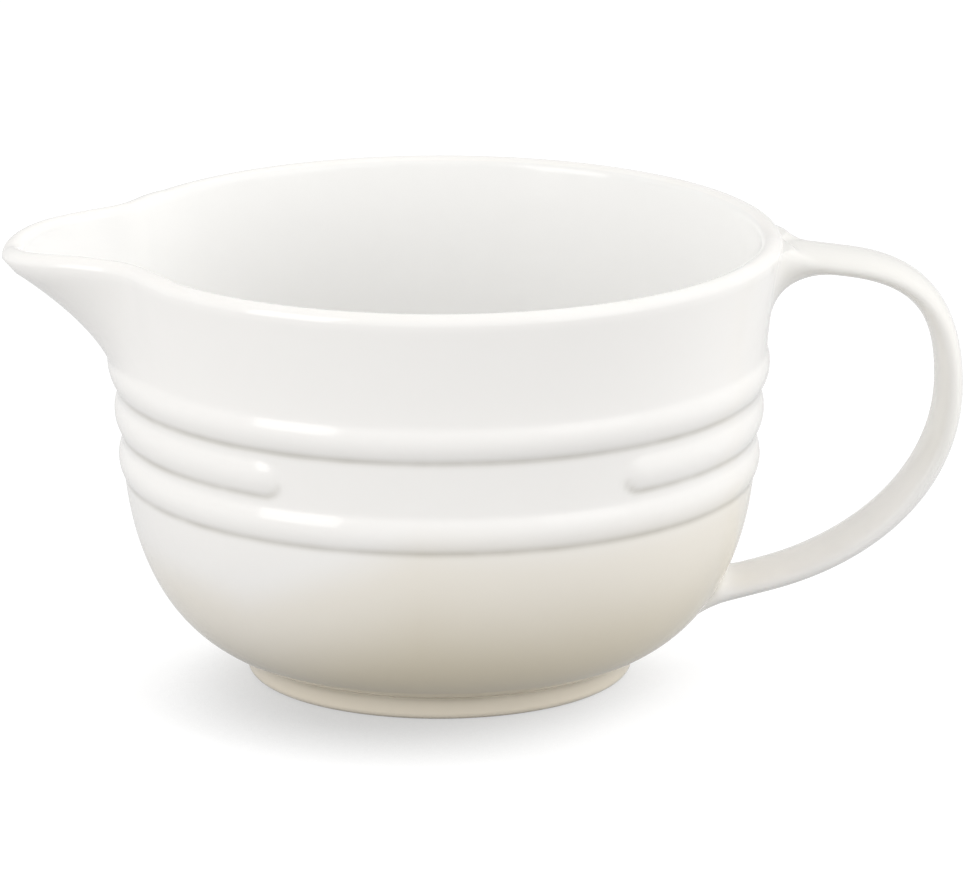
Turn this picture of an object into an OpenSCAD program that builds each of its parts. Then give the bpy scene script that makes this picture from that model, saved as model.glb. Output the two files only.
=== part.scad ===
// Stoneware batter bowl with a pouring spout and a strap handle.
// The origin is the middle of the ring that the bowl stands on. The handle is on +X, the
// spout on -X, and the flat panel in the middle band faces -Y.

/* [Bowl] */
// Height from the table to the top of the rim
bowl_h = 134; // [124:1:150]
// Radius of the rim, to the middle of its thickness
rim_r = 99; // [96:1:104]
// Thickness of the rounded rim
lip_t = 6.4; // [5:0.2:8]
// Thickness of the wall under the rim
wall_t = 6; // [4.5:0.1:7]
// How far the belly's widest circle lies inside the rim's middle circle
belly_in = 4.4; // [2:0.2:8]
// Height above the table where the belly's curve would close, inside the foot
belly_low_z = 2.7; // [1:0.1:4]
// Thickness of the floor
floor_t = 5.5; // [4.5:0.5:8]

/* [Bands] */
// Depth of the lowest band's lower edge below the top of the rim
bands_depth = 72.5; // [68:0.5:78]
// How far the belly's widest level lies above the lowest band's lower edge
belly_above = 10; // [5:0.5:14]
// Height from the lowest band's lower edge to the middle band's
low_band_h = 13.5; // [12:0.5:15]
// Height from the middle band's lower edge to the top band's
middle_band_h = 14.1; // [12:0.1:15]
// Height of the top band
top_band_h = 10; // [9:0.1:12]
// Height of the plain strip between one band and the next
band_gap = 3.4; // [2:0.1:5]
// How far each band bulges from the line between its edges
band_proud = 1.5; // [0.8:0.1:2.2]
// How far the rim flares out beyond the wall where it leaves the top band
wall_flare = 4.4; // [2:0.1:6]
// Half of the angle that the flat panel takes out of the middle band, in degrees
panel_half_angle = 35; // [20:1:60]

/* [Foot] */
// Outer radius of the foot ring at the table
foot_r = 57.8; // [50:0.2:59]
// Height of the foot ring
foot_h = 7.5; // [6:0.5:9]
// Width of the foot ring
foot_w = 10.8; // [8:0.2:14]
// Radius of the rounding along both lower edges of the foot ring
foot_edge_r = 2.2; // [1:0.1:3]

/* [Spout] */
// How far the spout's lip stands out beyond the rim's circle at the tip
spout_out = 27.6; // [20:0.2:32]
// Radius of the spout's tip, seen from above
spout_tip_r = 28; // [20:0.5:30]
// Angle between each side of the spout and its middle line, in degrees
spout_side_angle = 32; // [28:1:36]
// Half of the angle that the spout takes out of the rim, in degrees
spout_half_angle = 36; // [34:1:44]
// Depth below the top of the rim where the spout begins to leave the wall
spout_depth = 42; // [36:0.5:43]
// How far the rim rises beside the throat of the spout
spout_rise = 0.9; // [0:0.1:2]
// How far the lip dips at the spout's tip
spout_dip = 1.9; // [0:0.1:3]
// How far out from the rim's circle the throat's rounding reaches into it
throat_blend = 8; // [4:0.5:10]

/* [Handle] */
// Distance from the rim's middle circle to the middle of the strap at its furthest point
handle_out = 53.8; // [45:0.2:65]
// Depth of the strap's middle line below the top of the rim where it leaves the wall
handle_depth = 9; // [8:0.2:14]
// Height of the strap's middle line where it meets the belly
handle_low_z = 24; // [22:0.2:30]
// Width of the strap
handle_w = 26; // [20:1:32]
// Thickness of the strap at the top
handle_top_t = 7; // [5:0.1:9]
// Thickness of the strap at its thickest, below the middle
handle_thick_t = 8.3; // [6:0.1:11]
// Thickness of the strap where it meets the belly
handle_low_t = 7.2; // [5:0.1:9]
// Radius of the fillet between the strap and the wall, under the strap
upper_fillet_r = 11; // [6:0.5:14]
// Radius of the fillets at the strap's two sides
side_fillet_r = 5; // [3:0.5:8]
// Radius of the fillet under the strap's lower end
lower_fillet_r = 6; // [3:0.5:8]
// Radius of the small fillets where the strap is nearly in line with the wall
small_fillet_r = 3; // [1.5:0.5:5]

/* [Hidden] */
$fn = 96;
// Lengths that only one piece uses
cut_over = 10;
band_bury = 2.2;
band_end_drop = 0.15;
foot_hollow = 4.5;
foot_flare = 1.5;
// Shapes of the curves: powers and shares, which have no unit
belly_power_share = 4.4;
flare_power_share = 1.4;
bands_power_share = 1.5;
inner_power_share = 1.15;
strap_power_share = 0.92;
spout_power_share = 1.5;
spout_start_share = 0.12;
spout_end_share = 0.02;
// Where the strap's furthest point lies between its two ends, as a share of their heights
handle_mid_share = 0.612;
// How far the strap's curves follow the direction at their ends, as shares of their spans
top_pull_share = 0.67;
reach_rise_share = 0.83;
reach_fall_share = 0.545;
low_pull_share = 0.56;
low_slope_angle = 5.2;
// Where along its path the strap is thickest, and how gently its thickness changes
thick_place_share = 0.675;
thick_ease_share = 0.3;
// Where the strap ends and its joints begin, as shares of one curve
upper_joint_share = 0.13;
lower_joint_share = 0.15;
// How the joints' rings spread, how small the fillet over the strap is, and how far rings may tilt
upper_spread_share = 1.5;
lower_spread_share = 0.7;
over_fillet_share = 0.5;
tilt_limit_share = 0.5;
// Short steps that measure the slope of a curve
probe_share = 0.05;
probe_angle = 0.5;
// Steps along the curves
belly_steps = 26;
band_steps = 10;
wall_steps = 8;
lip_steps = 10;
inner_steps = 40;
spout_steps = 56;
strap_steps = 44;
strap_sides = 28;
joint_steps = 10;
strip_steps = 4;
foot_steps = 6;
// Levels and radii that follow from the sizes above
lip_z = bowl_h - lip_t / 2;
bands_z = bowl_h - bands_depth;
belly_z = bands_z + belly_above;
belly_depth = belly_z - belly_low_z;
belly_r = rim_r - belly_in;
foot_inner_r = foot_r - foot_w;
spout_z = bowl_h - spout_depth;
handle_reach = rim_r + handle_out;
handle_top_z = bowl_h - handle_depth;
middle_band_z = bands_z + low_band_h;
top_band_z = middle_band_z + middle_band_h;
wall_low_z = top_band_z + top_band_h;
low_strip_z = middle_band_z - band_gap;
top_strip_z = top_band_z - band_gap;
floor_z = foot_hollow + floor_t;
rim_outer_r = rim_r + lip_t / 2;
rim_inner_r = rim_r - lip_t / 2;
wall_low_r = rim_outer_r - wall_flare;
handle_mid_z = handle_low_z + (handle_top_z - handle_low_z) * handle_mid_share;
inner_belly_r = belly_r - wall_t;
inner_depth = belly_z - floor_z;
// The spout's outline from above: a round tip and two straight sides
tip_centre = rim_r + spout_out - spout_tip_r;
side_apex = tip_centre + spout_tip_r / sin(spout_side_angle);
tip_half_angle = atan2(spout_tip_r * cos(spout_side_angle), tip_centre + spout_tip_r * sin(spout_side_angle));

// Outer radius of the belly at a height
function belly_at(z) = belly_r * pow(1 - pow((belly_z - z) / belly_depth, 2), 1 / belly_power_share);

// Outer radius of the line that the bands stand on
function bands_at(z) =
    belly_at(bands_z)
    + (wall_low_r - belly_at(bands_z)) * pow((z - bands_z) / (wall_low_z - bands_z), bands_power_share);

// Outer radius of the smooth wall above the bands
function wall_at(z) =
    wall_low_r
    + (rim_outer_r - wall_low_r) * pow((z - wall_low_z) / (lip_z - wall_low_z), flare_power_share);

// Outer radius without the bands' bulges
function outer_at(z) = z < bands_z ? belly_at(z) : z < wall_low_z ? bands_at(z) : wall_at(z);

// Radius of the inside at a height
function inner_at(z) =
    z < belly_z
        ? inner_belly_r * pow(1 - pow((belly_z - z) / inner_depth, 2), 1 / belly_power_share)
        : inner_belly_r
            + (rim_inner_r - inner_belly_r) * pow((z - belly_z) / (lip_z - belly_z), inner_power_share);

// A number eased from one value to another
function mix(a, b, share) = a + (b - a) * share;

// Points of a curve that rises from z0 to z1, with the radius from outer_at
function outer_points(z0, z1, steps) = [
    for (i = [0:steps]) let (z = mix(z0, z1, i / steps)) [outer_at(z), z]
];

// Radius of the round band over a chord between two levels
function band_chord(z0, z1) = norm([outer_at(z1) - outer_at(z0), z1 - z0]);
function band_round_r(z0, z1) =
    (pow(band_chord(z0, z1) / 2, 2) + pow(band_proud, 2)) / (2 * band_proud);

// Points of one band's bulge between two levels
function band_points(z0, z1) =
    let (
        chord = band_chord(z0, z1),
        round_r = band_round_r(z0, z1),
        half = asin(chord / 2 / round_r),
        tilt = atan2(outer_at(z1) - outer_at(z0), z1 - z0),
        middle = [(outer_at(z0) + outer_at(z1)) / 2, (z0 + z1) / 2],
        centre = middle - (round_r - band_proud) * [cos(tilt), -sin(tilt)]
    ) [
        for (i = [1:band_steps - 1])
            let (a = mix(-half, half, i / band_steps) - tilt) centre + round_r * [cos(a), sin(a)]
    ];

// Points of the rounded rim, from its outside over the top to its inside
lip_points = [
    for (i = [0:lip_steps])
        let (a = 180 * i / lip_steps) [rim_r + lip_t / 2 * cos(a), lip_z + lip_t / 2 * sin(a)]
];

// Points of the inside from one level down to another, closer together near the floor
function inner_points(z_top, z_low, steps) = [
    for (i = [1:steps])
        let (share = 1 - pow(1 - i / steps, 2), z = mix(z_top, z_low, share)) [inner_at(z), z]
];

// Half section of the bowl without the middle band and the foot ring
body_outline = concat(
    [[0, foot_hollow], [foot_inner_r, foot_hollow], [foot_inner_r, foot_h]],
    outer_points(foot_h, bands_z, belly_steps),
    band_points(bands_z, low_strip_z),
    outer_points(low_strip_z, top_band_z, strip_steps),
    band_points(top_band_z, wall_low_z),
    outer_points(wall_low_z, lip_z, wall_steps),
    [for (i = [1:lip_steps]) lip_points[i]],
    inner_points(lip_z, floor_z, inner_steps)
);

// The bowl's outside as one solid, for seating the handle's joints on it
module bowl_outside() {
    rotate_extrude()
        polygon(concat(
            [[0, foot_h]],
            outer_points(foot_h, bands_z, belly_steps),
            band_points(bands_z, low_strip_z),
            outer_points(low_strip_z, top_band_z, strip_steps),
            band_points(top_band_z, wall_low_z),
            outer_points(wall_low_z, lip_z, wall_steps),
            [for (i = [1:lip_steps / 2]) lip_points[i]],
            [[0, bowl_h]]
        ));
}

// The middle band: a round bead bent about the axis, with a round end on each side of the panel
module middle_band() {
    round_r = band_round_r(middle_band_z, top_strip_z);
    low_r = outer_at(middle_band_z);
    high_r = outer_at(top_strip_z);
    tilt = atan2(high_r - low_r, top_strip_z - middle_band_z);
    centre = [(low_r + high_r) / 2, (middle_band_z + top_strip_z) / 2]
        - (round_r - band_proud) * [cos(tilt), -sin(tilt)];
    difference() {
        union() {
            rotate([0, 0, panel_half_angle - 90])
                rotate_extrude(angle = 360 - 2 * panel_half_angle)
                    translate(centre) circle(r = round_r);
            for (side = [-1, 1])
                rotate([0, 0, side * panel_half_angle - 90])
                    translate([centre[0], 0, centre[1]]) sphere(r = round_r - band_end_drop);
        }
        translate([0, 0, centre[1] - 2 * round_r])
            cylinder(r = low_r - band_bury, h = 4 * round_r);
    }
}

// The wedge of rim and wall that the spout takes the place of
module spout_gap() {
    rotate([0, 0, 180 - spout_half_angle])
        rotate_extrude(angle = 2 * spout_half_angle)
            translate([0, spout_z]) square([rim_outer_r + cut_over, bowl_h]);
}

module bowl_body() {
    color("ivory")
        difference() {
            union() {
                rotate_extrude() polygon(body_outline);
                middle_band();
            }
            spout_gap();
        }
}

// A ramp from 0 to 1 with an eased start and an eased end
function ramp(s, start_share, end_share) =
    let (
        slope = 1 / (1 - start_share / 2 - end_share / 2),
        x = min(max(s, 0), 1)
    )
    x < start_share
        ? slope * x * x / (2 * start_share)
        : x < 1 - end_share
            ? slope * (x - start_share / 2)
            : 1 - slope * (1 - x) * (1 - x) / (2 * end_share);

// Distance from the axis to the outline of the spout alone, at an angle from its middle line
function beak_at(a) =
    abs(a) < tip_half_angle
        ? tip_centre * cos(a) + sqrt(pow(spout_tip_r, 2) - pow(tip_centre * sin(a), 2))
        : side_apex * sin(spout_side_angle) / sin(abs(a) + spout_side_angle);

// How far the rim stands out of its circle at an angle, with the throat rounded
function beak_out(a) =
    let (
        beak = beak_at(a),
        blend = max(throat_blend - abs(beak - rim_r), 0)
    )
    max(beak, rim_r) - rim_r + blend * blend / (4 * throat_blend);

// How far the wall stands out at an angle and a height, and how much the rim rises
function bulge_at(a, z) =
    beak_out(a)
    * pow(ramp((z - spout_z) / (lip_z - spout_z), spout_start_share, spout_end_share), spout_power_share);
function rise_at(a, z) =
    let (
        side = (abs(a) / spout_half_angle - 0.5) * 2,
        up = min(max((z - spout_z) / (lip_z - spout_z), 0), 1)
    )
    (spout_rise * pow(max(1 - side * side, 0), 2) - spout_dip * pow(beak_out(a) / spout_out, 2)) * up * up;

// A point of the spout: the wall's middle surface bulged out, and then a step along its normal.
// The outline point holds a radius and a height of the plain wall.
function spout_point(a, outline_point) =
    let (
        z = outline_point[1],
        wall_z = min(z, lip_z),
        middle = (outer_at(wall_z) + inner_at(wall_z)) / 2,
        off = outline_point[0] - middle,
        lift = lip_t * probe_share,
        r = middle + bulge_at(a, z),
        wider = bulge_at(a + probe_angle, z) - bulge_at(a - probe_angle, z),
        across = wider / (2 * probe_angle * PI / 180) / r,
        steep = (bulge_at(a, z + lift) - bulge_at(a, z - lift)) / (2 * lift),
        size = norm([1, across, steep]),
        out = r + off / size,
        side = -off * across / size,
        up = z + rise_at(a, z) - off * steep / size
    )
    [-out * cos(a) + side * sin(a), out * sin(a) + side * cos(a), up];

// The wall's section above the level where the spout begins, from its outer foot to its inner foot
top_band_part = [for (p = band_points(top_band_z, wall_low_z)) if (p[1] > spout_z) p];
function band_foot() =
    let (
        below = [for (p = band_points(top_band_z, wall_low_z)) if (p[1] <= spout_z) p],
        low = len(below) > 0 ? below[len(below) - 1] : [outer_at(top_band_z), top_band_z],
        high = len(top_band_part) > 0 ? top_band_part[0] : [outer_at(wall_low_z), wall_low_z]
    )
    [mix(low[0], high[0], (spout_z - low[1]) / (high[1] - low[1])), spout_z];
spout_outline = concat(
    spout_z < top_band_z ? [[outer_at(spout_z), spout_z], [outer_at(top_band_z), top_band_z]]
        : spout_z < wall_low_z ? [band_foot()] : [],
    top_band_part,
    outer_points(max(wall_low_z, spout_z), lip_z, 2 * wall_steps),
    [for (i = [1:lip_steps - 1]) lip_points[i]],
    [for (i = [0:2 * wall_steps]) let (z = mix(lip_z, spout_z, i / (2 * wall_steps))) [inner_at(z), z]]
);

// Faces of a tube through rings of points, closed at both ends
function tube_faces(rings, sides) = concat(
    [[for (j = [sides - 1:-1:0]) j]],
    [[for (j = [0:sides - 1]) (rings - 1) * sides + j]],
    [
        for (i = [0:rings - 2], j = [0:sides - 1])
            let (k = (j + 1) % sides) each [
                [i * sides + j, i * sides + k, (i + 1) * sides + j],
                [i * sides + k, (i + 1) * sides + k, (i + 1) * sides + j],
            ]
    ]
);

module pouring_spout() {
    color("ivory")
        polyhedron(
            points = [
                for (i = [0:spout_steps])
                    let (a = mix(-spout_half_angle, spout_half_angle, i / spout_steps))
                        for (p = spout_outline) spout_point(a, p)
            ],
            faces = tube_faces(spout_steps + 1, len(spout_outline)),
            convexity = 6
        );
}

// The strap's middle line in the XZ plane: two curves that meet at the furthest point
top_start = [rim_r, handle_top_z];
reach_point = [handle_reach, handle_mid_z];
low_end = [belly_at(handle_low_z), handle_low_z];
top_span = handle_reach - rim_r;
top_drop = handle_top_z - handle_mid_z;
low_drop = handle_mid_z - handle_low_z;
low_span = handle_reach - low_end[0];
top_curve = [
    top_start,
    top_start + [top_pull_share * top_span, 0],
    reach_point + [0, reach_rise_share * top_drop],
    reach_point,
];
low_curve = [
    reach_point,
    reach_point - [0, reach_fall_share * low_drop],
    low_end + low_pull_share * low_span * [cos(low_slope_angle), sin(low_slope_angle)],
    low_end,
];

// A point and a direction on one of the curves
function on_curve(c, t) =
    pow(1 - t, 3) * c[0] + 3 * pow(1 - t, 2) * t * c[1] + 3 * (1 - t) * t * t * c[2] + pow(t, 3) * c[3];
function along_curve(c, t) =
    pow(1 - t, 2) * (c[1] - c[0]) + 2 * (1 - t) * t * (c[2] - c[1]) + t * t * (c[3] - c[2]);
function path_at(u) = u < 1 ? on_curve(top_curve, u) : on_curve(low_curve, u - 1);
function heading_at(u) =
    let (d = u < 1 ? along_curve(top_curve, u) : along_curve(low_curve, u - 1)) d / norm(d);

// Thickness of the strap along its path
function ease(s) = ramp(s, thick_ease_share, thick_ease_share);
function strap_t(u) =
    u < 2 * thick_place_share
        ? mix(handle_top_t, handle_thick_t, ease(u / 2 / thick_place_share))
        : mix(handle_thick_t, handle_low_t, ease((u / 2 - thick_place_share) / (1 - thick_place_share)));

// A ring of the strap: its middle, the direction of its inner side, and its half sizes towards
// the inner side, the outer side and across
function strap_ring(middle, inward, in_half, out_half, across_half) = [
    for (j = [0:strap_sides - 1])
        let (
            a = 360 * j / strap_sides,
            c = cos(a),
            s = sin(a),
            reach = (c > 0 ? in_half : -out_half) * pow(abs(c), strap_power_share),
            across = (s > 0 ? across_half : -across_half) * pow(abs(s), strap_power_share),
            p = middle + reach * inward
        )
        [p[0], across, p[1]]
];
function inner_side(u) = let (h = heading_at(u)) [h[1], -h[0]];
function plain_ring(u) =
    strap_ring(path_at(u), inner_side(u), strap_t(u) / 2, strap_t(u) / 2, handle_w / 2);

// A tube through rings that follow each other
module strap(rings) {
    polyhedron(
        points = [for (ring = rings) each ring],
        faces = tube_faces(len(rings), strap_sides),
        convexity = 6
    );
}

module handle() {
    color("ivory")
        strap([
            for (i = [0:strap_steps])
                plain_ring(mix(upper_joint_share, 2 - lower_joint_share, i / strap_steps))
        ]);
}

// The growth of a fillet from 0 at its start to 1 at the wall
function fillet(share) = let (x = min(max(share, 0), 1)) 1 - sqrt(1 - x * x);

// A ring of a joint: the strap's ring turned towards the wall's own direction and widened
function joint_ring(middle, inward, wall_dir, share, t, in_r, out_r) =
    let (
        dir = (1 - share) * inward + share * wall_dir,
        facing = dir / norm(dir),
        half = t / 2 / max(facing * inward, tilt_limit_share)
    )
    strap_ring(
        middle, facing,
        half + in_r * fillet(share), half + out_r * fillet(share),
        handle_w / 2 + side_fillet_r * fillet(share)
    );

module upper_handle_joint() {
    start = path_at(upper_joint_share);
    wall_point = [wall_at(handle_top_z), handle_top_z];
    deep_point = wall_point - [wall_t / 2, 0];
    color("ivory")
        difference() {
            strap(concat(
                [strap_ring(
                    deep_point, [0, -1],
                    handle_top_t / 2 + upper_fillet_r,
                    handle_top_t / 2 + small_fillet_r * over_fillet_share,
                    handle_w / 2 + side_fillet_r
                )],
                [
                    for (i = [0:joint_steps])
                        let (
                            share = 1 - pow(i / joint_steps, upper_spread_share),
                            u = upper_joint_share,
                            middle = mix(start, wall_point, share)
                        )
                        joint_ring(
                            middle, inner_side(u), [0, -1], share, strap_t(u),
                            upper_fillet_r, small_fillet_r * over_fillet_share
                        )
                ]
            ));
            bowl_outside();
        }
}

module lower_handle_joint() {
    u0 = 2 - lower_joint_share;
    step = lip_t * probe_share;
    slope = (belly_at(handle_low_z + step) - belly_at(handle_low_z - step)) / (2 * step);
    wall_dir = [slope, 1] / norm([slope, 1]);
    wall_out = [wall_dir[1], -wall_dir[0]];
    deep_point = low_end - wall_t / 2 * wall_out;
    half = handle_low_t / 2 / max(wall_dir * inner_side(2), tilt_limit_share);
    color("ivory")
        difference() {
            strap(concat(
                [
                    for (i = [0:joint_steps])
                        let (
                            share = pow(i / joint_steps, lower_spread_share),
                            u = mix(u0, 2, share)
                        )
                        joint_ring(
                            path_at(u), inner_side(u), wall_dir, share, strap_t(u),
                            small_fillet_r, lower_fillet_r
                        )
                ],
                [strap_ring(
                    deep_point, wall_dir, half + small_fillet_r, half + lower_fillet_r,
                    handle_w / 2 + side_fillet_r
                )]
            ));
            bowl_outside();
        }
}

module foot_ring() {
    color("wheat")
        rotate_extrude()
            polygon(concat(
                [[foot_inner_r, foot_h]],
                [
                    for (i = [0:foot_steps])
                        let (a = 180 + 90 * i / foot_steps)
                            [foot_inner_r + foot_edge_r, foot_edge_r] + foot_edge_r * [cos(a), sin(a)]
                ],
                [
                    for (i = [0:foot_steps])
                        let (a = 270 + 90 * i / foot_steps)
                            [foot_r - foot_edge_r, foot_edge_r] + foot_edge_r * [cos(a), sin(a)]
                ],
                [[min(foot_r + foot_flare, belly_at(foot_h)), foot_h]]
            ));
}

bowl_body();
pouring_spout();
handle();
upper_handle_joint();
lower_handle_joint();
foot_ring();
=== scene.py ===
# %% [markdown]
# # A stoneware batter bowl
#
# The bowl is cast in a plaster mould, its spout is drawn out of the wet rim, and a strap handle is
# luted on opposite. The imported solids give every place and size. This lesson builds the visible
# skin over them: the bowl with its spout, the handle with its two rounded roots, and the foot.

# %% The frame
import math
import bmesh
import bpy
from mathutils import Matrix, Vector


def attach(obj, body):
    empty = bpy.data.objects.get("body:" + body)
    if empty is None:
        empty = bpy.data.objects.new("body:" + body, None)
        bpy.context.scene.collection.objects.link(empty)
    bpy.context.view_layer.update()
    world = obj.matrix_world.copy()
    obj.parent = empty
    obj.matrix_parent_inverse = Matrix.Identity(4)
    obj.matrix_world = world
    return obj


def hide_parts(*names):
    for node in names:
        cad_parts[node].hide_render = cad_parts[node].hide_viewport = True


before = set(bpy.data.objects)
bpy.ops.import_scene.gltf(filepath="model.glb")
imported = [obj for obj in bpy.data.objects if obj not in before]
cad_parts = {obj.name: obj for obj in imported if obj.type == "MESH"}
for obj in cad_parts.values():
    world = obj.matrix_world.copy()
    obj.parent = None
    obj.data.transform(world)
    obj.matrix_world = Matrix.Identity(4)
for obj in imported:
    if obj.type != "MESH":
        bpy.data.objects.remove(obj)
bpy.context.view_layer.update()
print("nodes:", sorted(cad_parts))

# %% [markdown]
# ## Camera
#
# The photograph was taken with a long lens a little above the bowl. Its place could be guessed by
# eye, but the rim, the bands and the foot are true circles, so their outlines give it: 2.27 m away,
# 15 degrees down, and the bowl turned a little so that the spout comes forward.

# %% The camera
CAMERA_PLACE = (-0.1069, -2.2675, 0.690)
LOOKING_DOWN, HEADING = 15.276, 3.044
SENSOR_WIDTH, LENS = 36, 291.8
camera = bpy.data.objects.new("camera", bpy.data.cameras.new("camera"))
camera.location = CAMERA_PLACE
camera.rotation_euler = (math.radians(90 - LOOKING_DOWN), 0, math.radians(-HEADING))
camera.data.sensor_width = SENSOR_WIDTH
camera.data.lens = LENS
bpy.context.scene.collection.objects.link(camera)
bpy.context.scene.camera = camera
bpy.context.scene.view_settings.view_transform = "Standard"
print("camera at", CAMERA_PLACE)

# %% [markdown]
# ## Studio
#
# The bowl stands on a white sweep in a white tent, which is lit more from the sides and the back
# than from above. A strong lamp would burn out a white glaze, so the two soft boxes are weak, and
# the white of the background comes from what the camera and the reflections see: a floor that
# shines, for them alone, and is darker where the bowl hides the back of the tent from it.


# %% Small helpers for node trees
def feed(tree, value, socket):
    """A number goes on the socket itself, and an output is linked to it."""
    if isinstance(value, (int, float)):
        socket.default_value = value
    else:
        tree.links.new(value, socket)


def maths(tree, operation, a, b=0.0):
    node = tree.nodes.new("ShaderNodeMath")
    node.operation = operation
    feed(tree, a, node.inputs[0])
    feed(tree, b, node.inputs[1])
    return node.outputs[0]


def mapped(tree, value, low, high, to_low, to_high, smooth=False):
    """A value from one range is carried to another, and is held at its ends."""
    node = tree.nodes.new("ShaderNodeMapRange")
    node.interpolation_type = "SMOOTHSTEP" if smooth else "LINEAR"
    node.inputs["From Min"].default_value = low
    node.inputs["From Max"].default_value = high
    node.inputs["To Min"].default_value = to_low
    node.inputs["To Max"].default_value = to_high
    tree.links.new(value, node.inputs["Value"])
    return node.outputs["Result"]


def mixed(tree, factor, a, b):
    """One colour runs over into another."""
    node = tree.nodes.new("ShaderNodeMix")
    node.data_type = "RGBA"
    feed(tree, factor, node.inputs[0])
    tree.links.new(a, node.inputs[6])
    tree.links.new(b, node.inputs[7])
    return node.outputs[2]


def noise(tree, place, scale, detail):
    node = tree.nodes.new("ShaderNodeTexNoise")
    node.inputs["Scale"].default_value = scale
    node.inputs["Detail"].default_value = detail
    tree.links.new(place, node.inputs["Vector"])
    return node.outputs["Fac"]


# %% White for the camera, the tent's light for the bowl
MIRRORED = 0.6


def seen_or_mirrored(tree):
    """1 for rays from the camera and from gloss or glass, 0 for the light that falls on things.

    The second value is how white those rays find the studio: a little less by way of the gloss,
    because a real tent is greyer behind the bowl, and its outline then stands off the white.
    """
    path = tree.nodes.new("ShaderNodeLightPath").outputs
    straight = maths(tree, "MAXIMUM", path["Is Camera Ray"], path["Is Transmission Ray"])
    seen = maths(tree, "MAXIMUM", straight, path["Is Glossy Ray"])
    by_gloss = maths(tree, "MULTIPLY", path["Is Glossy Ray"], MIRRORED)
    return seen, maths(tree, "MAXIMUM", straight, by_gloss)


# %% The tent
# Each side of the tent shines most along its own axis: right, left, back, front and top
TENT_SIDES = (("X", 1, 2.6), ("X", -1, 1.2), ("Y", 1, 1.9), ("Y", -1, 0.9), ("Z", 1, 0.42))
world = bpy.data.worlds.new("white tent")
bpy.context.scene.world = world
world.use_nodes = True
tree = world.node_tree
direction = tree.nodes.new("ShaderNodeSeparateXYZ")
tree.links.new(tree.nodes.new("ShaderNodeTexCoord").outputs["Generated"], direction.inputs[0])
tent = 0.0
for axis, sign, light in TENT_SIDES:
    towards = maths(tree, "MAXIMUM", maths(tree, "MULTIPLY", direction.outputs[axis], sign), 0)
    side_light = maths(tree, "MULTIPLY", maths(tree, "POWER", towards, 2), light)
    tent = maths(tree, "ADD", side_light, tent)
strength = tree.nodes.new("ShaderNodeMix")
seen, whiteness = seen_or_mirrored(tree)
tree.links.new(seen, strength.inputs["Factor"])
tree.links.new(tent, strength.inputs["A"])
tree.links.new(whiteness, strength.inputs["B"])
tree.nodes["Background"].inputs["Color"].default_value = (1, 1, 1, 1)
tree.links.new(strength.outputs["Result"], tree.nodes["Background"].inputs["Strength"])
print("sides of the tent:", len(TENT_SIDES))

# %% The floor
FLOOR_HALF = 6
floor_bm = bmesh.new()
bmesh.ops.create_grid(floor_bm, x_segments=4, y_segments=4, size=FLOOR_HALF)
floor_mesh = bpy.data.meshes.new("floor")
floor_bm.to_mesh(floor_mesh)
floor_bm.free()
floor = bpy.data.objects.new("floor", floor_mesh)
bpy.context.scene.collection.objects.link(floor)
print("floor:", 2 * FLOOR_HALF, "m wide")

# %% The white paper of the floor
# The paper returns less to what sees it than to the light, because its glow is added there
FLOOR_GLOW, FLOOR_WHITE, SEEN_WHITE = 0.87, 0.45, 0.2
paper = bpy.data.materials.new("white paper sweep")
paper.use_nodes = True
tree = paper.node_tree
tree.nodes.clear()
seen, whiteness = seen_or_mirrored(tree)
matte = tree.nodes.new("ShaderNodeBsdfDiffuse")
less = maths(tree, "MULTIPLY", seen, FLOOR_WHITE - SEEN_WHITE)
tree.links.new(maths(tree, "SUBTRACT", FLOOR_WHITE, less), matte.inputs["Color"])
glow = tree.nodes.new("ShaderNodeEmission")
both = tree.nodes.new("ShaderNodeAddShader")
out = tree.nodes.new("ShaderNodeOutputMaterial")

# The glow stands for light from the back and the right of the tent. The bowl keeps it from the paper
# close to its foot: all of it comes where the AO node finds OPEN_SKY or more, and DARKEST at the foot
TENT_BACK = (0.35, 0.75, 0.56)
SHADE_REACH, OPEN_SKY, DARKEST = 0.06, 0.58, 0.3
backwards = tree.nodes.new("ShaderNodeCombineXYZ")
for axis, part in zip("XYZ", TENT_BACK):
    backwards.inputs[axis].default_value = part
hidden = tree.nodes.new("ShaderNodeAmbientOcclusion")
hidden.inputs["Distance"].default_value = SHADE_REACH
tree.links.new(backwards.outputs[0], hidden.inputs["Normal"])
shade = mapped(tree, hidden.outputs["AO"], 0, OPEN_SKY, DARKEST, 1)
shine = maths(tree, "MULTIPLY", whiteness, FLOOR_GLOW)
tree.links.new(maths(tree, "MULTIPLY", shine, shade), glow.inputs["Strength"])
tree.links.new(matte.outputs[0], both.inputs[0])
tree.links.new(glow.outputs[0], both.inputs[1])
tree.links.new(both.outputs[0], out.inputs["Surface"])
floor_mesh.materials.append(paper)
print("paper:", len(tree.nodes), "shader nodes")

# %% The soft boxes
AIM_Z = 0.07
BOX_ELEVATION, BOX_DISTANCE, BOX_HEIGHT = 22, 1.6, 1.3


def soft_box(name, azimuth, width, watts):
    """A lamp that looks at the bowl from an azimuth, where 0 is +X and 90 is +Y."""
    lamp = bpy.data.lights.new(name, "AREA")
    lamp.shape = "RECTANGLE"
    lamp.size = width
    lamp.size_y = BOX_HEIGHT
    lamp.energy = watts
    box = bpy.data.objects.new(name, lamp)
    turn, rise = math.radians(azimuth), math.radians(BOX_ELEVATION)
    flat = BOX_DISTANCE * math.cos(rise)
    box_z = AIM_Z + BOX_DISTANCE * math.sin(rise)
    box.location = (flat * math.cos(turn), flat * math.sin(turn), box_z)
    aim = Vector((0, 0, AIM_Z)) - box.location
    box.rotation_euler = aim.to_track_quat("-Z", "Y").to_euler()
    box.visible_camera = False
    bpy.context.scene.collection.objects.link(box)


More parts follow.
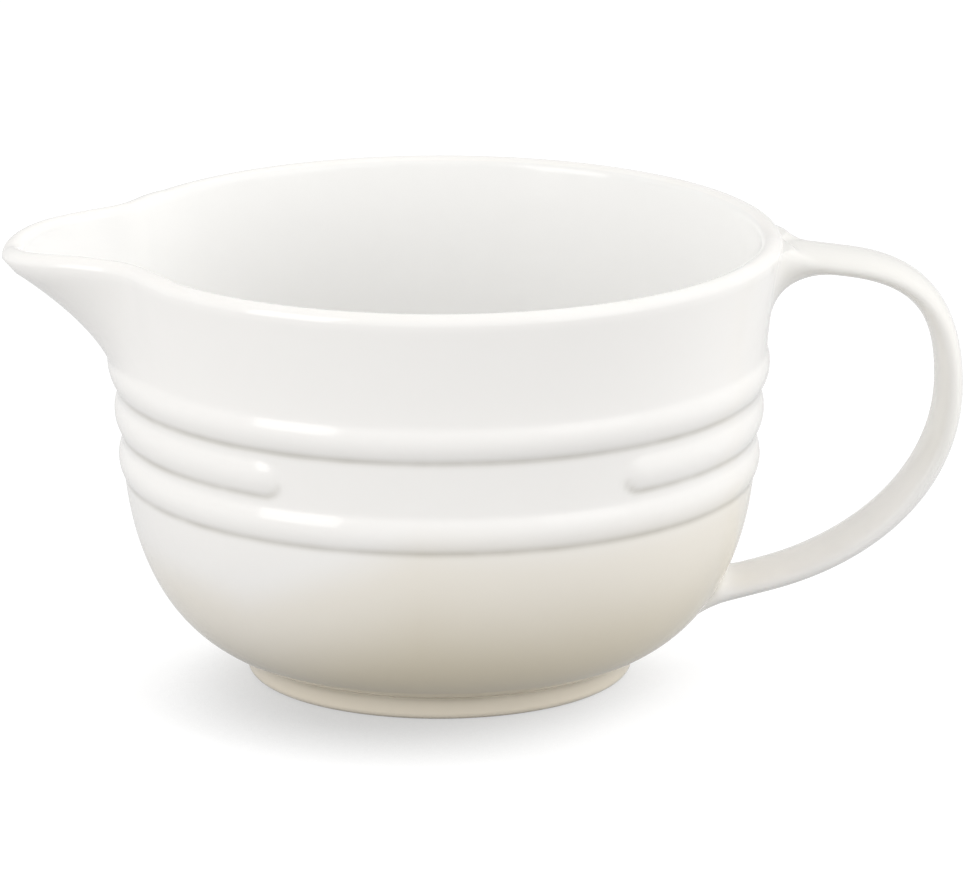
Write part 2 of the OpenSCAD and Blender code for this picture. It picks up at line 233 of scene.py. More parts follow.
soft_box("left soft box", azimuth=-142.5, width=0.87, watts=8.2)
soft_box("right soft box", azimuth=-40, width=0.9, watts=1.8)

# %% [markdown]
# ## The bowl's half section
#
# A cast bowl is a solid of revolution before its spout is drawn, so its section is a line. It could
# be traced by hand, but short rules keep it fair: a round belly, three bands that are arcs of a
# circle with a plain strip over each, a wall that flares to a rounded rim, and an inside that
# follows it. Sizes are in millimetres here and become metres when a piece is finished.

# %% Sizes of the bowl
# The rim's radius is to the middle of the lip, and a band is given by its lower and upper edge
BOWL_H, RIM_R, LIP_T, WALL_T = 134, 98.98, 6.4, 6
BELLY_R, BELLY_Z, BELLY_DEPTH, BELLY_POWER = 94.6, 71.5, 68.8, 4.4
FOOT_HOLLOW, FLOOR_T, FOOT_H, FOOT_R, FOOT_INNER_R = 4.5, 5.5, 7.5, 57.8, 47
LOW_BAND, MIDDLE_BAND, TOP_BAND = (61.5, 71.6), (75, 85.7), (89.1, 99.1)
BANDS_Z, WALL_LOW_Z, WALL_LOW_R = LOW_BAND[0], TOP_BAND[1], 97.8
BAND_PROUD = 1.5
STRIP_POWER, FLARE_POWER, INSIDE_POWER = 1.5, 1.4, 1.15
LIP_R, LIP_Z = LIP_T / 2, BOWL_H - LIP_T / 2
FLOOR_Z = FOOT_HOLLOW + FLOOR_T
print("middle of the lip at", LIP_Z, "mm, inside of the floor at", FLOOR_Z, "mm")


# %% The outside
def mix(a, b, share):
    return a + (b - a) * share


def belly_at(z):
    return BELLY_R * (1 - ((BELLY_Z - z) / BELLY_DEPTH) ** 2) ** (1 / BELLY_POWER)


def plain_outside(z):
    """Radius of the outside at a height, without the bands."""
    if z < BANDS_Z:
        return belly_at(z)
    if z < WALL_LOW_Z:
        share = (z - BANDS_Z) / (WALL_LOW_Z - BANDS_Z)
        return mix(belly_at(BANDS_Z), WALL_LOW_R, share ** STRIP_POWER)
    share = (z - WALL_LOW_Z) / (LIP_Z - WALL_LOW_Z)
    return mix(WALL_LOW_R, RIM_R + LIP_R, share ** FLARE_POWER)


# %% The bands, whose edges the glaze fills and softens, and the painted shade under them
# The second number is how far the painted shade under each band spreads, in mm
GLAZE_FILL, GROOVE_SHADE_WIDTH = 0.3, 1.1


def band_rise(z, band, past=0.0):
    """How far a band stands out of the wall at a height, or at a distance past its round end."""
    low, high = band
    half = (high - low) / 2
    arc_r = (half ** 2 + BAND_PROUD ** 2) / (2 * BAND_PROUD)
    within = arc_r ** 2 - (z - low - half) ** 2 - past ** 2
    rise = math.sqrt(max(within, 0)) - (arc_r - BAND_PROUD)
    return (rise + math.hypot(rise, GLAZE_FILL)) / 2


def shaded(z, band, past=0.0):
    """How much painted shade lies under a band's lower edge, or under its round end."""
    low, high = band
    middle, half = (low + high) / 2, (high - low) / 2
    off_edge = math.hypot(z - middle, past) - half
    return math.exp(-(off_edge / GROOVE_SHADE_WIDTH) ** 2) * min(max((middle - z) / half, 0), 1)


def outside(z):
    """Radius of the outside without the middle band."""
    return plain_outside(z) + band_rise(z, LOW_BAND) + band_rise(z, TOP_BAND)


print("outside at the bands:", [round(outside(z), 1) for z in LOW_BAND + MIDDLE_BAND + TOP_BAND])


# %% The inside
def inside(z):
    """Radius of the inside at a height."""
    low_r = BELLY_R - WALL_T
    if z < BELLY_Z:
        depth = (BELLY_Z - z) / (BELLY_Z - FLOOR_Z)
        return low_r * max(1 - depth ** 2, 0) ** (1 / BELLY_POWER)
    share = (z - BELLY_Z) / (LIP_Z - BELLY_Z)
    return low_r + (RIM_R - LIP_R - low_r) * share ** INSIDE_POWER


print("inside at the belly and the lip:", round(inside(BELLY_Z), 1), round(inside(LIP_Z), 1))

# %% Points of the half section, from the underside round the outside and the rim to the floor
# The bowl is seated a little way in the foot ring, so that no gap shows between them, and its
# points stand closer together near the foot, where the belly turns most
SEATED, CLOSER = 1, 1.5
BAND_MARGIN, BAND_STEP = 3, 0.75
BELLY_STEPS, WALL_STEPS, LIP_STEPS, INSIDE_STEPS = 26, 13, 16, 44
BANDS_LOW, BANDS_HIGH = BANDS_Z - BAND_MARGIN, WALL_LOW_Z + BAND_MARGIN
band_steps = round((BANDS_HIGH - BANDS_LOW) / BAND_STEP)
seat_r, seat_z = FOOT_INNER_R + SEATED, FOOT_H - SEATED
section = [(0, FOOT_HOLLOW), (FOOT_INNER_R * 0.5, FOOT_HOLLOW), (seat_r, FOOT_HOLLOW), (seat_r, seat_z)]
heights = [mix(seat_z, BANDS_LOW, (i / BELLY_STEPS) ** CLOSER) for i in range(BELLY_STEPS + 1)]
heights += [mix(BANDS_LOW, BANDS_HIGH, (i + 1) / band_steps) for i in range(band_steps)]
heights += [mix(BANDS_HIGH, LIP_Z, (i + 1) / WALL_STEPS) for i in range(WALL_STEPS)]
section += [(outside(z), z) for z in heights]
for i in range(1, LIP_STEPS + 1):
    a = math.pi * i / LIP_STEPS
    section.append((RIM_R + LIP_R * math.cos(a), LIP_Z + LIP_R * math.sin(a)))
for i in range(1, INSIDE_STEPS + 1):
    z = mix(LIP_Z, FLOOR_Z, 1 - (1 - i / INSIDE_STEPS) ** 2)
    section.append((inside(z), z))
print("section points:", len(section))

# %% [markdown]
# ## Spinning and drawing
#
# The section is spun once round the axis, as on a wheel. The spout could be a piece of its own, but
# a potter pulls it out of the same wall, so the spun wall is moved instead: each point above the
# spout's foot goes outward, and the wall keeps its thickness because a point of its inner or outer
# face steps along the normal of the moved middle. The middle band is raised in the same way, and it
# ends in a round on each side of the flat panel.

# %% The spun bowl
SPIN_STEPS = 360
SAME_POINT = 1e-4


def spun(bm, points, closed=False):
    """A line of points in the plane of X and Z is spun once round the axis."""
    line = [bm.verts.new((r, 0, z)) for r, z in points]
    ends = line[1:] + line[:1] if closed else line[1:]
    edges = [bm.edges.new(pair) for pair in zip(line, ends)]
    bmesh.ops.spin(
        bm, geom=line + edges, cent=(0, 0, 0), axis=(0, 0, 1),
        angle=2 * math.pi, steps=SPIN_STEPS, use_merge=True, dvec=(0, 0, 0),
    )


bowl_bm = bmesh.new()
# The first layer holds how much painted shade darkens the glaze under the bands
painted_shade = bowl_bm.verts.layers.float.new("painted_shade")
thin = bowl_bm.verts.layers.float.new("thin")
inner = bowl_bm.faces.layers.int.new("inner")
spun(bowl_bm, section)
bmesh.ops.remove_doubles(bowl_bm, verts=bowl_bm.verts, dist=SAME_POINT)
print("spun bowl:", len(bowl_bm.verts), "points")

# %% The inner faces, marked for the greyer copy of the white glaze, which is painted shade
NEAR_FLOOR, NEAR_INSIDE = 0.5, 0.8
for face in bowl_bm.faces:
    x, y, z = face.calc_center_median()
    near_inside = math.hypot(x, y) < inside(min(z, LIP_Z)) + NEAR_INSIDE
    face[inner] = int(z > FLOOR_Z - NEAR_FLOOR and near_inside)
print("inner faces:", sum(face[inner] for face in bowl_bm.faces))

# %% The middle band and its panel
PANEL_HALF_ANGLE = 35


def past_band(x, y, r):
    """How far a point of the wall lies past the middle band's round end, on the panel at -Y."""
    from_middle = abs(math.degrees(math.atan2(x, -y)))
    return max(PANEL_HALF_ANGLE - from_middle, 0) * math.pi / 180 * r


def is_outer(r, z):
    return r > plain_outside(min(z, LIP_Z)) - WALL_T / 2


for v in bowl_bm.verts:
    r = math.hypot(v.co.x, v.co.y)
    if BANDS_LOW < v.co.z < BANDS_HIGH and is_outer(r, v.co.z):
        grown = 1 + band_rise(v.co.z, MIDDLE_BAND, past_band(v.co.x, v.co.y, r)) / r
        v.co.x *= grown
        v.co.y *= grown
print("panel:", 2 * PANEL_HALF_ANGLE, "degrees wide")

# %% Where painted shade darkens the glaze under the bands, and where the glaze runs thin over the rim
THIN_DEPTH = 1.6
for v in bowl_bm.verts:
    r, z = math.hypot(v.co.x, v.co.y), v.co.z
    if is_outer(r, z):
        past = past_band(v.co.x, v.co.y, r)
        v[painted_shade] = max(shaded(z, LOW_BAND), shaded(z, MIDDLE_BAND, past), shaded(z, TOP_BAND))
    v[thin] = math.exp(-((z - BOWL_H) / THIN_DEPTH) ** 2)
print("points with pooled glaze:", sum(v[painted_shade] > 0.5 for v in bowl_bm.verts))

# %% The spout's outline, seen from above: a round tip between two straight sides
SPOUT_OUT, SPOUT_TIP_R, THROAT_BLEND = 27.6, 28, 5
SPOUT_SIDE_ANGLE = math.radians(32)
tip_centre = RIM_R + SPOUT_OUT - SPOUT_TIP_R
side_apex = tip_centre + SPOUT_TIP_R / math.sin(SPOUT_SIDE_ANGLE)
tip_half_angle = math.atan2(
    SPOUT_TIP_R * math.cos(SPOUT_SIDE_ANGLE), tip_centre + SPOUT_TIP_R * math.sin(SPOUT_SIDE_ANGLE)
)


def beak_out(a):
    """How far the rim stands out of its circle at an angle from the spout's middle line."""
    if abs(a) < tip_half_angle:
        round_tip = SPOUT_TIP_R ** 2 - (tip_centre * math.sin(a)) ** 2
        beak = tip_centre * math.cos(a) + math.sqrt(round_tip)
    else:
        beak = side_apex * math.sin(SPOUT_SIDE_ANGLE) / math.sin(abs(a) + SPOUT_SIDE_ANGLE)
    blend = max(THROAT_BLEND - abs(beak - RIM_R), 0)
    return max(beak, RIM_R) - RIM_R + blend ** 2 / (4 * THROAT_BLEND)


print("spout stands out by", round(beak_out(0), 1), "mm")

# %% The spout's rise out of the wall
SPOUT_Z, SPOUT_POWER, SPOUT_START, SPOUT_END = 92, 1.5, 0.12, 0.02


def ramp(s, start, end):
    """From 0 to 1, with an eased start and an eased end."""
    slope = 1 / (1 - start / 2 - end / 2)
    x = min(max(s, 0), 1)
    if x < start:
        return slope * x * x / (2 * start)
    if x < 1 - end:
        return slope * (x - start / 2)
    return 1 - slope * (1 - x) ** 2 / (2 * end)


def up_spout(z):
    """0 at the spout's foot and 1 at the lip."""
    return (z - SPOUT_Z) / (LIP_Z - SPOUT_Z)


def bulge(a, z):
    """How far the wall stands out at an angle and a height."""
    return beak_out(a) * ramp(up_spout(z), SPOUT_START, SPOUT_END) ** SPOUT_POWER


print("halfway up it stands out by", round(bulge(0, mix(SPOUT_Z, LIP_Z, 0.5)), 1), "mm")

# %% The drawn spout
SPOUT_HALF_ANGLE = math.radians(36)
SPOUT_RISE, SHOULDER_POWER = 0.8, 4
SPOUT_DIP, DIP_POWER = 2.4, 3
TURN_STEP, LIFT_STEP = math.radians(0.5), 0.32


def lifted(a, z):
    """How far the rim rises at the spout's two shoulders and dips towards its tip."""
    up = min(max(up_spout(z), 0), 1) ** 2
    shoulder = max(1 - (abs(a) / SPOUT_HALF_ANGLE * 2 - 1) ** SHOULDER_POWER, 0)
    return (SPOUT_RISE * shoulder - SPOUT_DIP * (beak_out(a) / SPOUT_OUT) ** DIP_POWER) * up


def drawn(a, r, z):
    """Where a point of the spun wall goes when the spout is drawn."""
    wall_z = min(z, LIP_Z)
    middle = (outside(wall_z) + inside(wall_z)) / 2
    off = r - middle
    base_r = middle + bulge(a, z)
    across = (bulge(a + TURN_STEP, z) - bulge(a - TURN_STEP, z)) / (2 * TURN_STEP) / base_r
    steep = (bulge(a, z + LIFT_STEP) - bulge(a, z - LIFT_STEP)) / (2 * LIFT_STEP)
    size = math.sqrt(1 + across ** 2 + steep ** 2)
    out_r = base_r + off / size
    side = -off * across / size
    return (
        -out_r * math.cos(a) + side * math.sin(a),
        out_r * math.sin(a) + side * math.cos(a),
        z + lifted(a, z) - off * steep / size,
    )


for v in bowl_bm.verts:
    a = math.atan2(v.co.y, -v.co.x)
    if v.co.z > SPOUT_Z and abs(a) <= SPOUT_HALF_ANGLE:
        v.co = drawn(a, math.hypot(v.co.x, v.co.y), v.co.z)
print("spout tip at x =", round(min(v.co.x for v in bowl_bm.verts), 1))


# %% Finishing a piece
def finish_piece(bm, name, materials, *replaced):
    """Metres, faces outward, smooth shading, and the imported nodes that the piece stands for."""
    bmesh.ops.recalc_face_normals(bm, faces=bm.faces)
    bmesh.ops.scale(bm, vec=(0.001, 0.001, 0.001), verts=bm.verts)
    for face in bm.faces:
        face.smooth = True
    mesh = bpy.data.meshes.new(name)
    bm.to_mesh(mesh)
    bm.free()
    for material in materials:
        mesh.materials.append(material)
    piece = bpy.data.objects.new(name, mesh)
    bpy.context.scene.collection.objects.link(piece)
    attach(piece, "root")
    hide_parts(*replaced)
    print(name + ":", len(mesh.polygons), "faces")
    return piece


# %% [markdown]
# ## The glaze
#
# The glaze is a thick white gloss over a buff body, sprayed so that it turns cream under the bands
# and darker towards the foot. Painted shade darkens it in the grooves, and it runs thin over the rim.
# One node group works out its colour, its roughness and its faint ripple, and the glazed pieces
# share it, so the colour goes on over the joints between them.

# %% The glaze group and its sockets
glaze_group = bpy.data.node_groups.new("fired glaze", "ShaderNodeTree")
for name, kind in (
    ("Upper Color", "NodeSocketColor"), ("Middle Color", "NodeSocketColor"),
    ("Lower Color", "NodeSocketColor"), ("Thin Color", "NodeSocketColor"),
    ("Painted Shade", "NodeSocketFloat"), ("Thin", "NodeSocketFloat"),
):
    glaze_group.interface.new_socket(name, in_out="INPUT", socket_type=kind)
for name, kind in (
    ("Color", "NodeSocketColor"), ("Roughness", "NodeSocketFloat"), ("Height", "NodeSocketFloat"),
):
    glaze_group.interface.new_socket(name, in_out="OUTPUT", socket_type=kind)
tree = glaze_group
given = tree.nodes.new("NodeGroupInput")
result = tree.nodes.new("NodeGroupOutput")
place = tree.nodes.new("ShaderNodeTexCoord").outputs["Object"]
place_xyz = tree.nodes.new("ShaderNodeSeparateXYZ")
tree.links.new(place, place_xyz.inputs[0])
print("glaze group:", len(glaze_group.interface.items_tree), "sockets")

# %% The sprayed colours
# Heights are in metres above the table. The white comes lower on the spout's side, which makes the
# belly there lighter, and a noise shifts the spray's edge up and down
WHITE_Z, CREAM_Z = (0.054, 0.072), (0.016, 0.060)
SPOUT_SIDE_X, WHITE_LOWER_BY = (-0.06, -0.01), 0.022
DRIFT, DRIFT_SCALE = 0.010, 14
lower_side = mapped(tree, place_xyz.outputs["X"], *SPOUT_SIDE_X, WHITE_LOWER_BY, 0)
centred = maths(tree, "SUBTRACT", noise(tree, place, DRIFT_SCALE, 2), 0.5)
drift = maths(tree, "MULTIPLY", centred, DRIFT)
height = maths(tree, "ADD", place_xyz.outputs["Z"], maths(tree, "ADD", drift, lower_side))
whitened = mapped(tree, height, *WHITE_Z, 0, 1, smooth=True)
creamy = mapped(tree, height, *CREAM_Z, 0, 1, smooth=True)
color = mixed(tree, creamy, given.outputs["Lower Color"], given.outputs["Middle Color"])
color = mixed(tree, whitened, color, given.outputs["Upper Color"])
print("white above", WHITE_Z[1], "m, cream down to", CREAM_Z[0], "m")

# %% Painted shade, thin places, gloss and ripple
# Painted shade under the bands and at the top of the foot: there the glaze's colour is multiplied by a
# darker one
PAINTED_SHADE_COLOR = (0.71, 0.70, 0.665, 1)
CLOUD_SCALE, PATCH_SCALE, GLOSS_SCALE = 60, 90, 45
RIPPLE_SCALE, FINE_SCALE, FINE_SHARE = 70, 420, 0.12


def clouded(scale, low, high):
    """A slow change over the glaze between two values: the noise mostly lies from 0.3 to 0.7."""
    return mapped(tree, noise(tree, place, scale, 3), 0.3, 0.7, low, high)


darkening = tree.nodes.new("ShaderNodeMix")
darkening.data_type = "RGBA"
darkening.blend_type = "MULTIPLY"
shade_share = maths(tree, "MULTIPLY", given.outputs["Painted Shade"], clouded(CLOUD_SCALE, 0.6, 1.0))
tree.links.new(shade_share, darkening.inputs[0])
tree.links.new(color, darkening.inputs[6])
darkening.inputs[7].default_value = PAINTED_SHADE_COLOR
worn = maths(tree, "MULTIPLY", given.outputs["Thin"], clouded(PATCH_SCALE, 0.0, 0.2))
color = mixed(tree, worn, darkening.outputs[2], given.outputs["Thin Color"])
fine = maths(tree, "MULTIPLY", noise(tree, place, FINE_SCALE, 1), FINE_SHARE)
ripple = maths(tree, "ADD", noise(tree, place, RIPPLE_SCALE, 2), fine)
tree.links.new(color, result.inputs["Color"])
tree.links.new(clouded(GLOSS_SCALE, 0.07, 0.13), result.inputs["Roughness"])
tree.links.new(ripple, result.inputs["Height"])
print("glaze group:", len(tree.nodes), "nodes")

# %% A glazed material
THIN_COLOR = (0.84, 0.80, 0.72, 1)
GLAZE_IOR, RIPPLE_STRENGTH, RIPPLE_DEPTH = 1.52, 0.25, 0.0004


def written(tree, layer):
    """What a layer of the mesh says at a point."""
    read = tree.nodes.new("ShaderNodeAttribute")
    read.attribute_name = layer
    return read.outputs["Fac"]


def glaze_node(tree, upper, middle, lower):
    group = tree.nodes.new("ShaderNodeGroup")
    group.node_tree = glaze_group
    group.inputs["Upper Color"].default_value = upper
    group.inputs["Middle Color"].default_value = middle
    group.inputs["Lower Color"].default_value = lower
    group.inputs["Thin Color"].default_value = THIN_COLOR
    tree.links.new(written(tree, "painted_shade"), group.inputs["Painted Shade"])
    tree.links.new(written(tree, "thin"), group.inputs["Thin"])
    return group


def glaze_material(name, colors, wall_colors=None):
    """A glaze in three colours from top to bottom, which can run over into those of the wall."""
    material = bpy.data.materials.new(name)
    material.use_nodes = True
    tree = material.node_tree
    shader = tree.nodes["Principled BSDF"]
    shader.inputs["IOR"].default_value = GLAZE_IOR
    group = glaze_node(tree, *colors)
    color = group.outputs["Color"]
    if wall_colors:
        of_wall = glaze_node(tree, *wall_colors).outputs["Color"]
        color = mixed(tree, written(tree, "near_wall"), color, of_wall)
    bump = tree.nodes.new("ShaderNodeBump")
    bump.inputs["Strength"].default_value = RIPPLE_STRENGTH
    bump.inputs["Distance"].default_value = RIPPLE_DEPTH
    tree.links.new(color, shader.inputs["Base Color"])
    tree.links.new(group.outputs["Roughness"], shader.inputs["Roughness"])
    tree.links.new(group.outputs["Height"], bump.inputs["Height"])
    tree.links.new(bump.outputs["Normal"], shader.inputs["Normal"])
    return material


# %% The four glazes, each with its upper, middle and lower colour
# Inside the bowl the white glaze is a greyer copy of the outer white: painted shade for the hollow
WHITE, INNER_SHADED_WHITE = (0.90, 0.885, 0.862, 1), (0.868, 0.862, 0.846, 1)
WALL_COLORS = (WHITE, (0.85, 0.81, 0.735, 1), (0.70, 0.635, 0.50, 1))
# The foot's lower colour is lighter than the wall's lowest: partly a lighter glaze, partly painted
# light for the light the foot catches from the front
FOOT_COLORS_AND_PAINTED_LIGHT = (WHITE, WHITE, (0.83, 0.76, 0.64, 1))
# The handle's upper colour is darker and its lower colour whiter than the white glaze: painted shade
# near the rim and painted light on the lower loop and its root
HANDLE_PAINTED_LIGHT_COLORS = ((0.86, 0.845, 0.808, 1), WHITE, (0.93, 0.918, 0.90, 1))
glaze = glaze_material("white to cream glaze", WALL_COLORS)
inner_glaze = glaze_material("inner glaze with painted shade", (INNER_SHADED_WHITE, INNER_SHADED_WHITE, INNER_SHADED_WHITE))
foot_glaze = glaze_material("foot glaze with painted light and shade", FOOT_COLORS_AND_PAINTED_LIGHT)
handle_glaze = glaze_material("handle glaze with painted light and shade", HANDLE_PAINTED_LIGHT_COLORS, WALL_COLORS)
print("glazes:", [m.name for m in (glaze, inner_glaze, foot_glaze, handle_glaze)])

# %% The finished bowl
for face in bowl_bm.faces:
    face.material_index = 1 if face[inner] else 0
bowl = finish_piece(bowl_bm, "glazed_bowl", [glaze, inner_glaze], "bowl_body", "pouring_spout")

# %% [markdown]
# ## The foot
#
# The foot is a low ring that is turned on the wheel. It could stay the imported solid, but its edges
# catch the light, so it is spun again from a finer section, with the glaze wiped off its lower face
# so that it doesn't stick to the kiln shelf.

# %% The bare clay under the foot
CLAY_DARK, CLAY_LIGHT = (0.36, 0.29, 0.21, 1), (0.55, 0.47, 0.36, 1)
SPECKLE_STOPS = ((0.35, CLAY_DARK), (0.65, CLAY_LIGHT))
SPECKLE_SCALE, GRAIN_SCALE, GRAIN_DEPTH, CLAY_ROUGHNESS = 700, 1500, 0.0003, 0.85
bare_clay = bpy.data.materials.new("bare stoneware")
bare_clay.use_nodes = True
tree = bare_clay.node_tree
place = tree.nodes.new("ShaderNodeTexCoord").outputs["Object"]
clay = tree.nodes["Principled BSDF"]
speckle = tree.nodes.new("ShaderNodeValToRGB")
for element, (stop, clay_color) in zip(speckle.color_ramp.elements, SPECKLE_STOPS):
    element.position = stop
    element.color = clay_color
tree.links.new(noise(tree, place, SPECKLE_SCALE, 4), speckle.inputs["Fac"])
tree.links.new(speckle.outputs["Color"], clay.inputs["Base Color"])
grain = tree.nodes.new("ShaderNodeBump")
grain.inputs["Distance"].default_value = GRAIN_DEPTH
tree.links.new(noise(tree, place, GRAIN_SCALE, 3), grain.inputs["Height"])
tree.links.new(grain.outputs["Normal"], clay.inputs["Normal"])
clay.inputs["Roughness"].default_value = CLAY_ROUGHNESS
print("clay:", len(tree.nodes), "shader nodes")

# %% The foot ring's section
FOOT_EDGE_R, FOOT_FLARE = 2.2, 1.5
EDGE_STEPS, SIDE_STEPS = 8, 7
foot_section = [(FOOT_INNER_R, FOOT_H)]
for centre_r, start in ((FOOT_INNER_R + FOOT_EDGE_R, 180), (FOOT_R - FOOT_EDGE_R, 270)):
    for i in range(EDGE_STEPS + 1):
        a = math.radians(start + 90 * i / EDGE_STEPS)
        foot_section.append((centre_r + FOOT_EDGE_R * math.cos(a), FOOT_EDGE_R * (1 + math.sin(a))))
for i in range(1, SIDE_STEPS + 1):
    share = i / SIDE_STEPS
    foot_section.append((FOOT_R + FOOT_FLARE * share ** 2, mix(FOOT_EDGE_R, FOOT_H, share)))
print("foot section points:", len(foot_section))

# %% The foot ring
OUTSIDE_R = FOOT_R - 1
# The first number is the width of the painted shade on the foot's top, in the crease where it meets the
# belly
FOOT_SHADE_WIDTH, WIPED_Z, WIPED_DEPTH, CLAY_Z = 1.5, 1.0, 0.8, 0.5
foot_bm = bmesh.new()
foot_shade = foot_bm.verts.layers.float.new("painted_shade")
foot_thin = foot_bm.verts.layers.float.new("thin")
spun(foot_bm, foot_section, closed=True)
for v in foot_bm.verts:
    if math.hypot(v.co.x, v.co.y) > OUTSIDE_R:
        v[foot_shade] = math.exp(-((v.co.z - FOOT_H) / FOOT_SHADE_WIDTH) ** 2)
        v[foot_thin] = math.exp(-((v.co.z - WIPED_Z) / WIPED_DEPTH) ** 2)
for face in foot_bm.faces:
    face.material_index = 1 if face.calc_center_median().z < CLAY_Z else 0
foot = finish_piece(foot_bm, "foot", [foot_glaze, bare_clay], "foot_ring")

# %% [markdown]
# ## The handle
#
# A strap handle is pulled or cast as a flat oval strip, bent to a loop and luted to the wall with
# slip, which leaves a rounded fillet at each end: deep under the upper root and slight where the
# lower root runs along the belly. Two curves give the strap's middle line. A ring is extruded from
# station to station, and each end is carried on over a fillet until it lies in the wall's surface,
# so that the glaze seems to run from one to the other.

# %% The strap's middle line
# Two cubic curves meet at the far side of the loop. Each pull is a share of the way that its
# control point lies along, and the top curve starts a little low and swells a little high
REACH, TOP_Z, MID_Z, LOW_Z = 152.78, 125, 85.8, 24
TOP_PULL, TOP_TURN_PULL, LOW_TURN_PULL, LOW_PULL = 0.67, 0.83, 0.545, 0.56
TOP_SWELL = 0.8
LOW_SLOPE = math.radians(5.2)
low_r = belly_at(LOW_Z)
low_pull = LOW_PULL * (REACH - low_r)
top_curve = (
    Vector((RIM_R, TOP_Z - TOP_SWELL)), Vector((mix(RIM_R, REACH, TOP_PULL), TOP_Z + TOP_SWELL)),
    Vector((REACH, mix(MID_Z, TOP_Z, TOP_TURN_PULL))), Vector((REACH, MID_Z)),
)
low_curve = (
    Vector((REACH, MID_Z)), Vector((REACH, mix(MID_Z, LOW_Z, LOW_TURN_PULL))),
    Vector((low_r + low_pull * math.cos(LOW_SLOPE), LOW_Z + low_pull * math.sin(LOW_SLOPE))),
    Vector((low_r, LOW_Z)),
)


def on_strap(u):
    """Middle and direction of the strap, for u from 0 at the rim to 2 at the belly."""
    a, b, c, d = top_curve if u < 1 else low_curve
    t = u if u < 1 else u - 1
    s = 1 - t
    middle = s ** 3 * a + 3 * s * s * t * b + 3 * s * t * t * c + t ** 3 * d
    heading = s * s * (b - a) + 2 * s * t * (c - b) + t * t * (d - c)
    return middle, heading.normalized()


print("strap reaches x =", REACH, "and meets the belly at x =", round(low_r, 1))

# %% The strap's section
STRAP_W, TOP_T, THICK_T, LOW_T = 26, 7, 8.3, 7.2
THICKEST_U, EASED, OVAL_POWER, SIDES = 1.35, 0.3, 0.92, 96


def strap_t(u):
    """Thickness of the strap along its way."""
    if u < THICKEST_U:
        return mix(TOP_T, THICK_T, ramp(u / THICKEST_U, EASED, EASED))
    return mix(THICK_T, LOW_T, ramp((u - THICKEST_U) / (2 - THICKEST_U), EASED, EASED))


def strap_ring(u):
    """Points of one ring and their outward directions, as 3D vectors."""
    (x, z), (hx, hz) = on_strap(u)
    inward = Vector((hz, 0, -hx))
    middle = Vector((x, 0, z))
    points, normals = [], []
    for j in range(SIDES):
        a = 2 * math.pi * j / SIDES
        c, s = math.cos(a), math.sin(a)
        thick = strap_t(u) / 2 * math.copysign(abs(c) ** OVAL_POWER, c)
        wide = STRAP_W / 2 * math.copysign(abs(s) ** OVAL_POWER, s)
        points.append(middle + thick * inward + Vector((0, wide, 0)))
        normal = c / strap_t(u) * inward + Vector((0, s / STRAP_W, 0))
        normals.append(normal.normalized())
    return points, normals


print("strap thickness:", [round(strap_t(u), 1) for u in (0, THICKEST_U, 2)])

# %% The wall that the strap is luted to
FARTHEST, HALVINGS, SLOPE_STEP = 60.0, 40, 0.1


def on_outside(y, z):
    """The point of the bowl's outside at a height and a sideways distance, on the handle's side."""
    grown = outside(z) + band_rise(z, MIDDLE_BAND)
    return Vector((math.sqrt(grown ** 2 - y ** 2), y, z))


def wall_normal(p):
    rise = on_outside(0, p.z + SLOPE_STEP).x - on_outside(0, p.z - SLOPE_STEP).x
    slope = rise / (2 * SLOPE_STEP)
    return Vector((p.x, p.y, -slope * math.hypot(p.x, p.y))).normalized()


def meet_wall(p, towards):
    """Where a line from a point meets the bowl's outside."""
    near, far = 0.0, FARTHEST
    for _ in range(HALVINGS):
        half = (near + far) / 2
        q = p + half * towards
        if math.hypot(q.x, q.y) > on_outside(0, q.z).x:
            near = half
        else:
            far = half
    return p + near * towards


# %% The fillets at the two roots
# The last rings lie in the wall and then behind it, at these depths, and each spreads a bit more
SINKS, SPREAD = (0.03, 0.12, 1.2), 0.8
FILLET_STEPS, FILLET_POWER, MOST_OF_STRAP = 16, 1.2, 0.97


def root_rings(u, towards_low, under, over, side):
    """Rings from the strap at u down to the wall, for the root at that end of the strap.

    Each face's fillet has its reach along the wall and its reach along the strap.
    """
    heading = on_strap(u)[1] * (1 if towards_low else -1)
    towards = Vector((heading.x, 0, heading.y))
    points, normals = strap_ring(u)
    corners = [meet_wall(p, towards) for p in points]
    rings = []
    for k in range(FILLET_STEPS + len(SINKS)):
        turn = math.pi / 2 * min(k / FILLET_STEPS, 1)
        extra = max(k - FILLET_STEPS, 0)
        ring = []
        for j, (point, corner, normal) in enumerate(zip(points, corners, normals)):
            a = 2 * math.pi * j / SIDES
            face = under if math.cos(a) > 0 else over
            on_wall = math.hypot(face[0] * math.cos(a), side[0] * math.sin(a))
            on_side = math.hypot(face[1] * math.cos(a), side[1] * math.sin(a))
            on_side = min(on_side, MOST_OF_STRAP * (corner - point).length)
            wall = wall_normal(corner)
            along = (normal - normal.dot(wall) * wall).normalized()
            spread = corner + (on_wall * (1 - math.cos(turn)) + SPREAD * extra) * along
            seat = on_outside(spread.y, min(spread.z, LIP_Z))
            back = on_side * (1 - math.sin(turn)) ** FILLET_POWER
            sink = SINKS[extra] * math.sin(turn)
            ring.append(seat - back * towards - sink * wall)
        rings.append(ring)
    return rings


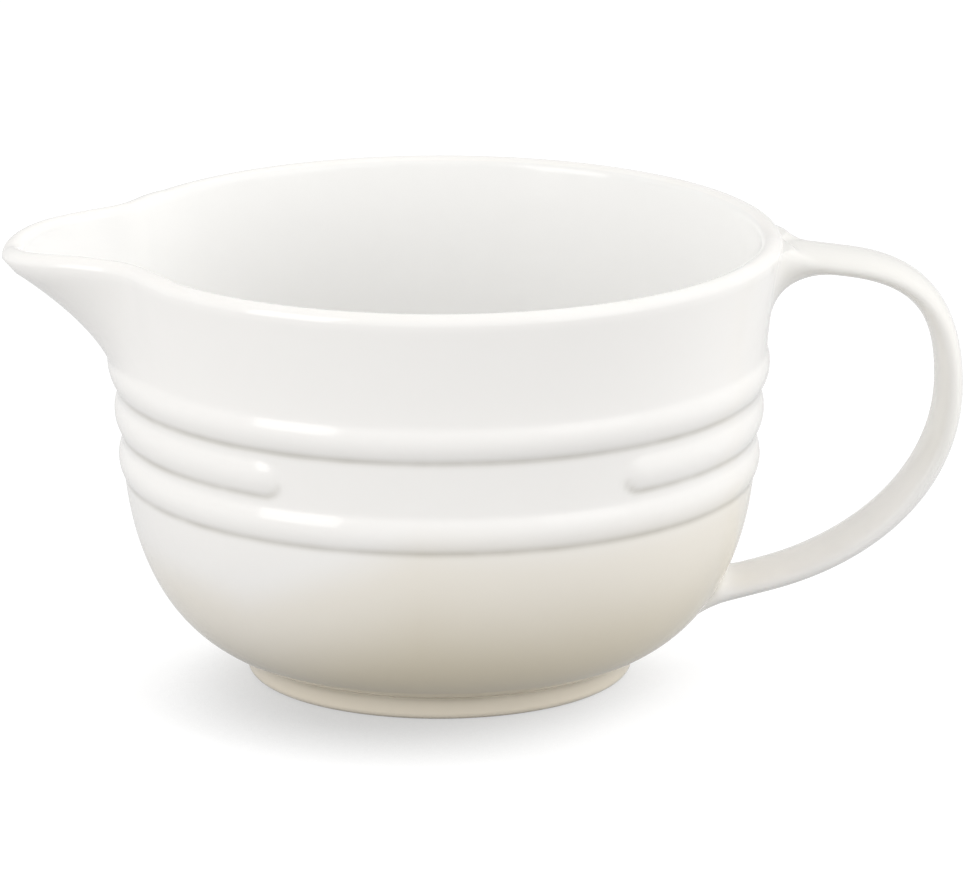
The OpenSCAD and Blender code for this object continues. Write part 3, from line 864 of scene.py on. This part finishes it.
# %% The strap's rings, from the rim to the belly
U_TOP, U_LOW, STRAP_STEPS = 0.24, 1.86, 60
upper = root_rings(U_TOP, towards_low=False, under=(18, 20), over=(1.5, 3.5), side=(12, 14))
lower = root_rings(U_LOW, towards_low=True, under=(7, 9), over=(8, 8), side=(9, 11))
middle = [strap_ring(mix(U_TOP, U_LOW, i / STRAP_STEPS))[0] for i in range(STRAP_STEPS + 1)]
stations = upper[::-1] + middle + lower

# Along a fillet the handle's glaze runs over into the wall's colours
over_fillet = [min(k / FILLET_STEPS, 1) ** 2 for k in range(len(lower))]
shares = over_fillet[::-1] + [0] * len(middle) + over_fillet
print("rings:", len(stations))

# %% The strap, extruded from ring to ring
handle_bm = bmesh.new()
handle_bm.verts.layers.float.new("painted_shade")
handle_bm.verts.layers.float.new("thin")
near_wall = handle_bm.verts.layers.float.new("near_wall")
ring_verts = bmesh.ops.create_circle(handle_bm, segments=SIDES, radius=1)["verts"]
first_edges = list(handle_bm.edges)


def place_ring(verts, ring, share):
    for v, p in zip(verts, ring):
        v.co = p
        v[near_wall] = share


def extruded(edges, verts):
    """The next ring's edges, and its points in the order of the last ring's points."""
    made = bmesh.ops.extrude_edge_only(handle_bm, edges=edges)["geom"]
    fresh = [part for part in made if isinstance(part, bmesh.types.BMVert)]
    followers = {}
    for v in fresh:
        for edge in v.link_edges:
            other = edge.other_vert(v)
            if other in verts:
                followers[verts.index(other)] = v
    made_edges = [part for part in made if isinstance(part, bmesh.types.BMEdge)]
    next_edges = [edge for edge in made_edges if all(v in fresh for v in edge.verts)]
    return next_edges, [followers[j] for j in range(SIDES)]


ring_edges = first_edges
place_ring(ring_verts, stations[0], shares[0])
for ring, share in zip(stations[1:], shares[1:]):
    ring_edges, ring_verts = extruded(ring_edges, ring_verts)
    place_ring(ring_verts, ring, share)
bmesh.ops.contextual_create(handle_bm, geom=first_edges)
bmesh.ops.contextual_create(handle_bm, geom=ring_edges)
handle = finish_piece(
    handle_bm, "strap_handle", [handle_glaze], "handle", "upper_handle_joint", "lower_handle_joint"
)
